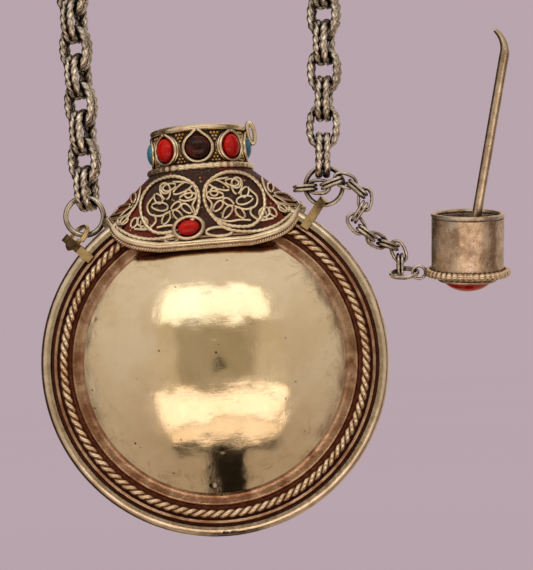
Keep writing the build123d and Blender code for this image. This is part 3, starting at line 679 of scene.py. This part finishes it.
def collar_filigree():
    """Scrolls of wire soldered over both faces of the collar, with small granules between."""
    for side, word in ((-1, "front"), (1, "back")):
        thick, thin, grains = Mesh(), Mesh(), Mesh()
        for hand in (-1, 1):
            flip = np.array((hand, 1))

            def lay(mesh, flat_path, radius, lift, twisted=False, closed=False):
                flat_path = np.asarray(flat_path) * flip
                path, out = saddle(flat_path[:, 0], flat_path[:, 1], lift, side)
                if twisted:
                    mesh.sweep(path, out, radius * MM, closed, 8, 1.0, (0.16, 2, 0.9 * MM))
                else:
                    mesh.sweep(path, out, radius * MM, closed, 7, 0.9)

            lay(thick, smooth_path(LOBE, 220, True), OUTLINE_WIRE, OUTLINE_LIFT, True, True)
            lay(thick, smooth_path(TAIL, 110), TAIL_WIRE, OUTLINE_LIFT, True)
            for spine in SPINES:
                lay(thin, smooth_path(spine, 90), SPINE_WIRE, SPINE_LIFT)
            for x, z, length, width, angle in LEAVES + FAN:
                lay(thin, leaf(x, z, length, width, angle), CURL_WIRE, CURL_LIFT)
            for x, z, radius, angle in CURLS:
                lay(thin, curl(x, z, radius, angle), CURL_WIRE, CURL_LIFT)
            lay(thick, smooth_path(PETAL, 60), PETAL_WIRE, 0.32)
        turn = np.linspace(0.3, tau + 0.1, 50)
        x = OVAL_AT[0] + OVAL_HALF[0] * np.cos(turn)
        z = OVAL_AT[1] + OVAL_HALF[1] * np.sin(turn) - 0.1 * np.cos(turn)
        path, out = saddle(x * -side, z, 0.32, side)
        thick.sweep(path, out, PETAL_WIRE * MM, False, 8)
        hook = smooth_path(HOOK, 40)
        path, out = saddle(hook[:, 0] * -side, hook[:, 1], HOOK_LIFT, side)
        thick.sweep(path, out, HOOK_WIRE * MM, False, 8)
        rng = np.random.default_rng(4)
        for _ in range(GRAIN_TRIES):
            x, z = rng.uniform(-15, 15), rng.uniform(22, 33)
            if abs(x) > 9 + 1.0 * (33 - z):
                continue
            path, out = saddle(np.array([x]), np.array([z]), 0.02, side)
            across = np.cross(out[0], (0, 0, 1))
            grains.cabochon(path[0], out[0], across, GRAIN_R, GRAIN_R, GRAIN_RISE)
        thick.make(f"{word}_scroll_outlines", WIRE, "flask", "silver", (f"{word}_filigree",))
        thin.make(f"{word}_scroll_curls", WIRE, "flask", "silver")
        grains.make(f"{word}_collar_grains", GOLD, "flask", "brass")


HEM_FLAT = 8.0                   # half width of the hem's straight middle, mm
HEM_BEND = (14.2, 1.6)           # a point on its rounded corner: distance out, and height over the hem
HEM_END = 26.0                   # height of its ends
HEM_REACH = 9.9                  # distance over which the corner runs
HEM_WIRE, HEM_WIRE_INSET, HEM_WIRE_LIFT = 0.62, 0.95, 0.42
# Ribbed wires: inset, lift, strand radius and pitch
HEM_RIBS = ((0.1, 0.34, 0.20, 0.95), (1.95, 0.22, 0.16, 0.9))
SKIRT_IN, SKIRT_UP = 1.5, 0.2


def hem(inset, lift, side):
    """The collar's lower edge as a path, drawn in by an amount in millimetres."""
    low, high = (np.array(c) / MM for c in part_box("collar"))
    edge = np.array(((HEM_FLAT, low[2]), (HEM_BEND[0], low[2] + HEM_BEND[1]), (high[0], HEM_END)))
    corner = smooth_path(((HEM_FLAT / 2, low[2]), *edge), 160)
    corner = corner[corner[:, 0] >= HEM_FLAT]
    flat = np.stack([np.linspace(0, HEM_FLAT, 50), np.full(50, low[2])], -1)
    right = np.vstack([flat[:-1], corner])
    right[:, 1] += inset * (1 + 0.3 * np.clip((right[:, 0] - HEM_FLAT) / HEM_REACH, 0, 1))
    whole = np.vstack([right[:0:-1] * (-1, 1), right])
    return saddle(whole[:, 0], whole[:, 1], lift, side)


def collar_hem():
    """A plain wire and two ribbed wires along the collar's lower edge, on both faces."""
    plain, ribbed, skirt = Mesh(), Mesh(), Mesh()
    for side in (-1, 1):
        path, out = hem(HEM_WIRE_INSET, HEM_WIRE_LIFT, side)
        plain.sweep(path, out, HEM_WIRE * MM, False, 14, 0.72)
        for inset, lift, strand, pitch in HEM_RIBS:
            path, out = hem(inset, lift, side)
            ribbed.rope(path, out, strand * MM, pitch * MM, False, 7, 2, 0.9)
        edge, _ = hem(0.0, 0.05, side)
        inner = edge + np.array((0, -side * SKIRT_IN, SKIRT_UP)) * MM
        skirt.grid(np.stack([edge, inner]), False, False)
    # The skirt under the hem has the same stain and painted shade as the channel, for the crevice there.
    skirt.make("collar_hem_skirt", CHANNEL_STAIN_AND_SHADE, "flask", "collar_ground")
    plain.make("collar_hem_wire", WIRE, "flask", "silver", ("collar_border",))
    ribbed.make("collar_hem_ribs", ROPE, "flask", "silver")


STONE_DEPTH, STONE_RISE = 0.75 * MM, 0.8 * MM      # the collar stones' girdle and height over it
STONE_TILT = 0.16                                  # how far they lean off level
STONE_SHARE, SEAT_SHARE = (0.68, 0.66), 0.96       # their half sizes as shares of the bezel's
# The collar stones' bezel wires: height, size as a share of the bezel, and wire radius
COLLAR_BEZEL = ((-0.35, 0.96, 0.34), (0.25, 0.90, 0.30))


def collar_stones():
    """The oval coral and its bezel wire on each face of the collar."""
    stones, wires, seats = Mesh(), Mesh(), Mesh()
    low, high = (np.array(c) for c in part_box("collar_bezels"))
    centre = (low + high) / 2
    half = (high - low) / 2
    for side in (-1, 1):
        out = np.array((0, side, 0))
        right = np.array((1, 0, STONE_TILT * -side))
        face = centre + out * (half[1] - STONE_DEPTH)
        wide, tall = half[0] * STONE_SHARE[0], half[2] * STONE_SHARE[1]
        stones.cabochon(face, out, right, wide, tall, STONE_RISE, 0.6 * MM)
        wide, tall = half[0] * SEAT_SHARE, half[2] * SEAT_SHARE
        seats.cabochon(face - out * 0.9 * MM, out, right, wide, tall, 0.55 * MM, 0.2 * MM)
        turn = np.linspace(0, tau, 80, endpoint=False)
        up = np.cross(out, unit(right))
        for level, grow, wire in COLLAR_BEZEL:
            path = face + out * level * MM + np.outer(np.cos(turn), unit(right)) * half[0] * grow
            path = path + np.outer(np.sin(turn), up) * half[2] * grow
            wires.sweep(path, out, wire * MM, True, 10, 1.2)
    stones.make("collar_cabochons", CORAL, "flask", "coral", ("collar_corals",))
    wires.make("collar_stone_wires", WIRE, "flask", "silver", ("collar_bezels",))
    seats.make("collar_stone_seats", GROUND, "flask", "collar_ground")


NECK_STONES = {"neck_garnets": (GARNET, "garnet"), "neck_corals": (CORAL, "coral"),
               "neck_turquoises": (TURQUOISE, "turquoise")}
GIRDLE_DEPTH = 1.25 * MM         # a neck stone's girdle under its crown
NARROW_STONE, ROUND_STONE = 0.80, 0.95
HIGH_PEAK, LOW_PEAK, PEAK_REACH = 0.62, 0.3, 0.30      # the point where a bezel wire's ends meet
# The neck stones' bezel wires: height, wire radius, and size as a share of the stone
NECK_BEZEL = ((0.15, 0.30, 1.13), (-0.35, 0.30, 1.15), (-0.85, 0.3, 1.15))
WRAP = 0.035 / MM                # how fast the bezels bend back round the neck


def neck_settings():
    """Stones round the neck, each in a bent-wire bezel whose ends meet in a point."""
    wires, seats = Mesh(), Mesh()
    for node, (finish, slot) in NECK_STONES.items():
        gems = Mesh()
        for part in loose_parts(node):
            centre = (part.max(0) + part.min(0)) / 2
            out = unit((centre[0], centre[1], 0))
            right = np.cross((0, 0, 1), out)
            base = out * ((part @ out).max() - GIRDLE_DEPTH) + np.array((0, 0, centre[2]))
            reach = (part[:, 2].max() - part[:, 2].min()) / 2
            wide = NARROW_STONE if node == "neck_corals" else ROUND_STONE
            gems.cabochon(base, out, right, reach * wide, reach * 0.94, 1.2 * MM, 1.0 * MM)
            seat = reach * 1.02
            seats.cabochon(base - out * 0.6 * MM, out, right, seat, seat, 0.5 * MM, 0.2 * MM)
            turn = np.linspace(0.03, tau - 0.03, 72)
            peak = HIGH_PEAK if node == "neck_garnets" else LOW_PEAK
            for level, wire, grow in NECK_BEZEL:
                swell = reach * grow * (1 - 0.03 * np.cos(turn))
                tip = np.exp(-(np.minimum(turn, tau - turn) / PEAK_REACH) ** 2) * peak * MM
                radial = (swell + tip)[:, None]
                path = base + out * level * MM + radial * (
                    np.outer(np.sin(turn), right) + np.outer(np.cos(turn), (0, 0, 1))
                )
                path = path - out * (WRAP * (radial * np.sin(turn)[:, None]) ** 2)
                wires.sweep(path, out, wire * MM, False, 9, 1.1)
        gems.make(node.replace("neck_", "neck_set_"), finish, "flask", slot, (node,))
    wires.make("neck_bezel_wires", WIRE, "flask", "silver", ("neck_bezels",))
    seats.make("neck_stone_seats", GROUND, "flask", "collar_ground")


SETTINGS = 8
GRAIN_ROWS = 3
GRAIN_PITCH, GRAIN_ROW = 0.62 * MM, 0.58       # spacing along a row, and between rows in mm
GRAIN_FROM = 2.45                              # first row's height from the neck's middle, mm
NECK_GRAIN_R, NECK_GRAIN_RISE = 0.32 * MM, 0.42 * MM


def neck_grains():
    """Gilt triangles of small grains between the neck's settings."""
    grains = Mesh()
    low, high = (np.array(c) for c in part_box("neck_tube"))
    radius = (high[0] - low[0]) / 2 + 0.05 * MM
    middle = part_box("neck_garnets")
    level = (middle[0][2] + middle[1][2]) / 2
    for n in range(SETTINGS):
        angle = (n + 0.5) * tau / SETTINGS
        out = np.array((cos(angle), sin(angle), 0))
        right = np.cross((0, 0, 1), out)
        for way in (-1, 1):
            for row in range(GRAIN_ROWS):
                for k in range(GRAIN_ROWS - row):
                    x = (k - (GRAIN_ROWS - 1 - row) / 2) * GRAIN_PITCH
                    z = level + way * (GRAIN_FROM - row * GRAIN_ROW) * MM
                    spot = out * radius + right * x + np.array((0, 0, z))
                    grains.cabochon(
                        spot, out, right, NECK_GRAIN_R, NECK_GRAIN_R, NECK_GRAIN_RISE, 0.1 * MM
                    )
    grains.make("neck_grain_triangles", GOLD, "flask", "brass", ("neck_granules",))


RING_STEPS = 480
FOOT_RIBS = (0.085, 0, 1.35 * MM)      # relief of the foot wire
FOOT_WOBBLE, FOOT_WAVES = 0.006, 5


def neck_rings():
    """A smooth lip wire with a second one inside it, and a ribbed foot wire, round the neck."""
    right, ahead = np.array((1, 0, 0)), np.array((0, 1, 0))
    for node, name, ribs in (("neck_top_ring", "neck_lip", 0), ("neck_base_ring", "neck_foot", 1)):
        low, high = (np.array(c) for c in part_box(node))
        tall = high[2] - low[2]
        centre = (low + high) / 2
        outer = (high[0] - low[0]) / 2
        made = Mesh()
        path = circle(centre, right, ahead, outer - tall * 0.5, RING_STEPS)
        if ribs:
            waves = np.sin(np.linspace(0, tau * FOOT_WAVES, RING_STEPS))[:, None]
            path = (path - centre) * (1 + FOOT_WOBBLE * waves) + centre
            made.sweep(path, (0, 0, 1), tall * 0.52, True, 14, 1.0, FOOT_RIBS)
        else:
            made.sweep(path, (0, 0, 1), tall * 0.5, True, 16, 1.0)
            inside = centre + np.array((0, 0, tall * 0.32))
            inner = circle(inside, right, ahead, outer - tall * 1.05, 300)
            made.sweep(inner, (0, 0, 1), tall * 0.34, True, 10)
        made.make(name, WIRE, "flask", "silver", (node,))


# --- rings, chains and stopper -----------------------------------------------------------------


COIL_SPREAD = 0.85       # how far a coil's turns stand apart, and how thick its wire is,
COIL_WIRE = 0.9          # both as shares of the wire that would fill the CAD ring
CHAIN_RELIEF, CHAIN_SHARE = (0.17, 3, 1.2), 0.915
TETHER_RELIEF, TETHER_SHARE = (0.07, 3, 1.5), 0.93
OVAL_POWER = 2.35        # 2 would make a link an ellipse


def coil(node, name, body, finish, turns):
    """A ring of wire wound a few times round, in place of the CAD ring."""
    points = vertices(node)
    centre, turn, half = axes_of(points)
    wire = half[2] * 2 / turns
    angle = np.linspace(0, tau * turns, 90 * turns)
    step = np.linspace(0, 1, len(angle))
    climb = (2 * step - 1) * wire * (turns - 1) / 2 * COIL_SPREAD
    radius = (max(half[0], half[1]) - wire / 2 * (1.5 + step))[:, None]
    path = centre + radius * (np.outer(np.cos(angle), turn[0]) + np.outer(np.sin(angle), turn[1]))
    path = path + np.outer(climb, turn[2])
    made = Mesh()
    made.sweep(path, turn[2], wire / 2 * COIL_WIRE, False, 12, 1.0)
    made.make(name, finish, body, "antique_silver", (node,))


def stadium(centre, along, across, half_length, half_width, count):
    """An oval path between an ellipse and a rectangle, with its points evenly spaced."""
    turn = np.arange(count) * tau / count
    c, s = np.cos(turn), np.sin(turn)
    x = np.sign(c) * np.abs(c) ** (2 / OVAL_POWER) * half_length
    y = np.sign(s) * np.abs(s) ** (2 / OVAL_POWER) * half_width
    flat = np.stack([x, y], -1)
    loop = np.vstack([flat, flat[:1]])
    steps = steps_along(loop)
    even = np.linspace(0, steps[-1], count, endpoint=False)
    x = np.interp(even, steps, loop[:, 0])
    y = np.interp(even, steps, loop[:, 1])
    return centre + np.outer(x, along) + np.outer(y, across)


def links(node, ripple, share, count, sides):
    """The links of one chain node, each wound with a twisted relief.

    share is the finished wire's mean radius as a share of the CAD wire's.
    """
    made = Mesh()
    for n, part in enumerate(loose_parts(node)):
        centre, turn, half = axes_of(part)
        wire = half[2] * 2
        path = stadium(centre, turn[0], turn[1], half[0] - wire / 2, half[1] - wire / 2, count)
        depth, lobes, pitch = ripple
        hand = 1 if n % 2 else -1
        made.sweep(path, turn[2], wire / 2 * share, True, sides, 1.0,
                   (depth, lobes * hand, pitch * wire))
    made.make(f"{node}_links", CHAIN, node, "antique_silver", (node,))


def chains():
    for node in sorted(nodes):
        if "_chain_" in node:
            links(node, CHAIN_RELIEF, CHAIN_SHARE, 150, 14)
        elif node.startswith("tether_"):
            links(node, TETHER_RELIEF, TETHER_SHARE, 72, 9)


PLUG_STONE_SEAT, PLUG_STONE_RISE = 0.5 * MM, 3.0 * MM      # the stone under the stopper
PLUG_STONE_SHARE, PLUG_BEZEL_SHARE = 1.12, 1.19
PLUG_BEZEL_WIRE, PLUG_BEZEL_LEVELS = 0.33 * MM, (0.25, 0.8)
PLUG_RIBS = (0.12, 0, 1.0 * MM)


def stopper_parts():
    """The ribbed ring under the cup and the coral set below it."""
    centre, turn, half = axes_of(vertices("stopper_beaded_ring"))
    wire = half[2] * 2
    path = circle(centre, turn[0], turn[1], half[0] - wire / 2, 520)
    ring = Mesh()
    ring.sweep(path, turn[2], wire / 2 * 0.95, True, 12, 1.0, PLUG_RIBS)
    ring.make("stopper_ribbed_ring", ROPE, "stopper", "pewter", ("stopper_beaded_ring",))
    plate = axes_of(vertices("stopper_plate"))[0]
    stone = vertices("stopper_coral")
    down = turn[2] * (1 if (stone.mean(0) - plate) @ turn[2] > 0 else -1)
    reach = ((stone - stone.mean(0)) @ turn[0]).max()
    gem, bezel = Mesh(), Mesh()
    half = reach * PLUG_STONE_SHARE
    gem.cabochon(plate + down * PLUG_STONE_SEAT, down, turn[0], half, half, PLUG_STONE_RISE)
    gem.make("stopper_cabochon", CORAL, "stopper", "coral", ("stopper_coral",))
    for level in PLUG_BEZEL_LEVELS:
        seat = plate + down * (PLUG_STONE_SEAT + level * MM)
        seat = circle(seat, turn[0], turn[1], reach * PLUG_BEZEL_SHARE, 200)
        bezel.sweep(seat, down, PLUG_BEZEL_WIRE, True, 10)
    bezel.make("stopper_bezel_wires", PEWTER, "stopper", "pewter", ("stopper_bezel",))


def finish_cad():
    """Gives every CAD node that stays its material."""
    finishes = {
        "edge_band": RIM, "collar": GROUND, "neck_tube": GROUND,
        "left_bail": BRASS, "right_bail": BRASS,
        "stopper_cup": PEWTER, "stopper_rim": PEWTER, "stopper_plate": PEWTER,
        "stopper_loop": CHAIN, "spoon_stem": STEM,
        "front_rim_wire": STAINED_WIRE, "back_rim_wire": STAINED_WIRE, "jump_ring": CHAIN,
    }
    for name, finish in finishes.items():
        slots = nodes[name].material_slots
        if len(slots) == 0:
            nodes[name].data.materials.append(finish)
        for slot in nodes[name].material_slots:
            slot.link = "OBJECT"
            slot.material = finish


# --- light, floor and camera -------------------------------------------------------------------


TENT_BELOW, TENT_ABOVE = (0.44, 0.33, 0.24), (0.72, 0.62, 0.52)
# Panels of the light tent as seen from the flask, in degrees right of and above the camera:
# left, right, low and high edges, softness, and colour. Each lies over the ones before it.
BACK_PANELS = (
    (-165, -78, -60, 60, 6, (0.05, 0.03, 0.02)),
    (72, 100, -60, 60, 5, (0.16, 0.10, 0.07)),
    (-34, 36, -46, 43, 1.6, (0.62, 0.50, 0.36)),
    (-33, 35, 23, 42, 1.5, (1.55, 1.42, 1.22)),
)
RIBBED_PANEL, RIBBED_COLOUR = (-36, 38, -31, -15, 1.2), (1.75, 1.35, 1.05)
RIBS_PER_DEGREE, RIB_DARK, RIB_BRIGHT = 1.35, 0.72, 1.12
FRONT_PANELS = (
    (-34, 36, -42, -33, 1.0, (1.25, 0.92, 0.66)),
    (-20, 22, -14, 21, 5.0, (0.38, 0.30, 0.20)),
    (-4, 3, -6, 1, 1.0, (0.03, 0.02, 0.015)),
    (-38, 40, -48, -43, 1.2, (0.09, 0.07, 0.045)),
)
BLOCK_WIDE, BLOCK_TALL = (-0.13, 0.17, 0.012), (-85, -47, 1.5)      # the dark block below the camera
BLOCK_COLOUR = (0.012, 0.008, 0.005)


def world():
    """An even mauve backdrop to the camera, and a soft light tent for everything else."""
    made = bpy.data.worlds.new("tent")
    scene.world = made
    made.use_nodes = True
    s = Shader(made.node_tree)
    direction = s.node("ShaderNodeTexCoord").outputs["Generated"]
    split = s.node("ShaderNodeSeparateXYZ", {0: direction})
    x, y, z = split.outputs
    ahead = s.maths("MULTIPLY", y, -1.0)
    squares = s.maths("ADD", s.maths("MULTIPLY", x, x), s.maths("MULTIPLY", ahead, ahead))
    flat = s.maths("SQRT", squares)
    level = s.maths("MULTIPLY", s.maths("ARCTAN2", z, flat), 180 / pi)
    side = s.maths("MULTIPLY", s.maths("ARCTAN2", x, ahead), 180 / pi)

    def band(value, low, high, soft):
        rise = s.ramp(value, low - soft, low + soft)
        fall = s.ramp(value, high + soft, high - soft)
        return s.maths("MULTIPLY", rise, fall)

    def panel(left, right, low, high, soft):
        return s.maths("MULTIPLY", band(side, left, right, soft), band(level, low, high, soft))

    wave = s.maths("SINE", s.maths("MULTIPLY", side, RIBS_PER_DEGREE))
    ribs = s.ramp(wave, -1.0, 1.0, RIB_DARK, RIB_BRIGHT)
    ribbed = s.node("ShaderNodeVectorMath", {0: RIBBED_COLOUR, "Scale": ribs}, operation="SCALE")
    colour = s.mix(s.ramp(level, -70, 60), TENT_BELOW, TENT_ABOVE)
    for *edges, tint in BACK_PANELS:
        colour = s.mix(panel(*edges), colour, tint)
    colour = s.mix(panel(*RIBBED_PANEL), colour, ribbed.outputs[0])
    for *edges, tint in FRONT_PANELS:
        colour = s.mix(panel(*edges), colour, tint)
    block = s.maths("MULTIPLY", band(x, *BLOCK_WIDE), band(level, *BLOCK_TALL))
    colour = s.mix(block, colour, BLOCK_COLOUR)
    seen = s.node("ShaderNodeLightPath").outputs["Is Camera Ray"]
    colour = s.mix(seen, colour, BACKGROUND)
    back = s.node("ShaderNodeBackground", {"Color": colour, "Strength": 1.0})
    out = s.node("ShaderNodeOutputWorld")
    s.tree.links.new(back.outputs[0], out.inputs[0])


FLOOR_REACH = 2.0
FLOOR_GAP = 0.5 * MM
FLOOR_CLOUD = 0.985


def floor():
    """A wide pale floor under the flask, as bright as the backdrop behind it."""
    level = cad_box[0][2] - FLOOR_GAP
    mesh = bpy.data.meshes.new("floor")
    corners = [(x * FLOOR_REACH, y * FLOOR_REACH, level) for x, y in ((-1, -1), (1, -1), (1, 1), (-1, 1))]
    mesh.from_pydata(corners, [], [(0, 1, 2, 3)])
    made = bpy.data.objects.new("floor", mesh)
    scene.collection.objects.link(made)
    finish, s = material("floor")
    seen = s.node("ShaderNodeLightPath").outputs["Is Camera Ray"]
    clouded = tuple(FLOOR_CLOUD * c for c in BACKGROUND)
    tone = s.mix(s.ramp(s.noise(0.004, 3), 0.3, 0.7), BACKGROUND, clouded)
    matt = s.node("ShaderNodeBsdfDiffuse", {"Color": tone})
    glow = s.node("ShaderNodeEmission", {"Color": tone, "Strength": 1.0})
    blend = s.node("ShaderNodeMixShader", {0: seen, 1: matt.outputs[0], 2: glow.outputs[0]})
    out = s.node("ShaderNodeOutputMaterial")
    s.tree.links.new(blend.outputs[0], out.inputs[0])
    mesh.materials.append(finish)
    made.visible_glossy = False


def lamp(name, place, aim, size, power, tint):
    """A soft area lamp that metal doesn't mirror."""
    data = bpy.data.lights.new(name, "AREA")
    data.shape = "RECTANGLE"
    data.size, data.size_y = size
    data.energy = power
    data.color = tint
    made = bpy.data.objects.new(name, data)
    scene.collection.objects.link(made)
    made.location = place
    made.rotation_euler = (Vector(aim) - Vector(place)).to_track_quat("-Z", "Y").to_euler()
    made.visible_glossy = False
    return made


def camera():
    """The camera in front of the flask, rolled as the flask leans."""
    data = bpy.data.cameras.new("camera")
    made = bpy.data.objects.new("camera", data)
    scene.collection.objects.link(made)
    data.sensor_width = SENSOR
    data.lens = data.sensor_width * CAMERA_DISTANCE / VIEW_HEIGHT
    rise = radians(CAMERA_ELEVATION)
    back = Vector((0, -cos(rise), sin(rise)))
    up = Vector((sin(radians(ROLL)), 0, cos(radians(ROLL))))
    right = back.cross(up).normalized() * -1
    up = back.cross(right)
    made.matrix_world = Matrix.Translation(VIEW_CENTRE + back * CAMERA_DISTANCE) @ Matrix(
        (right, up, back)
    ).transposed().to_4x4()
    data.clip_start = 0.01
    scene.camera = made


finish_cad()
faces_of_flask()
lip_loop()
rope_rims()
collar_filigree()
collar_hem()
collar_stones()
neck_settings()
neck_grains()
neck_rings()
coil("small_ring", "small_coil", "small_ring", BRASS, 2)
coil("split_ring", "split_coil", "split_ring", CHAIN, 2)
coil("end_ring", "end_coil", "end_ring", CHAIN, 2)
chains()
stopper_parts()
world()
floor()
lamp("key", (-0.25, -0.35, 0.45), LAMP_AIM, (0.3, 0.2), 3.0, (1.0, 0.96, 0.9))
lamp("rim", (0.4, 0.1, 0.3), LAMP_AIM, (0.2, 0.2), 1.2, (1.0, 0.95, 0.92))
camera()
scene.view_settings.view_transform = "Standard"
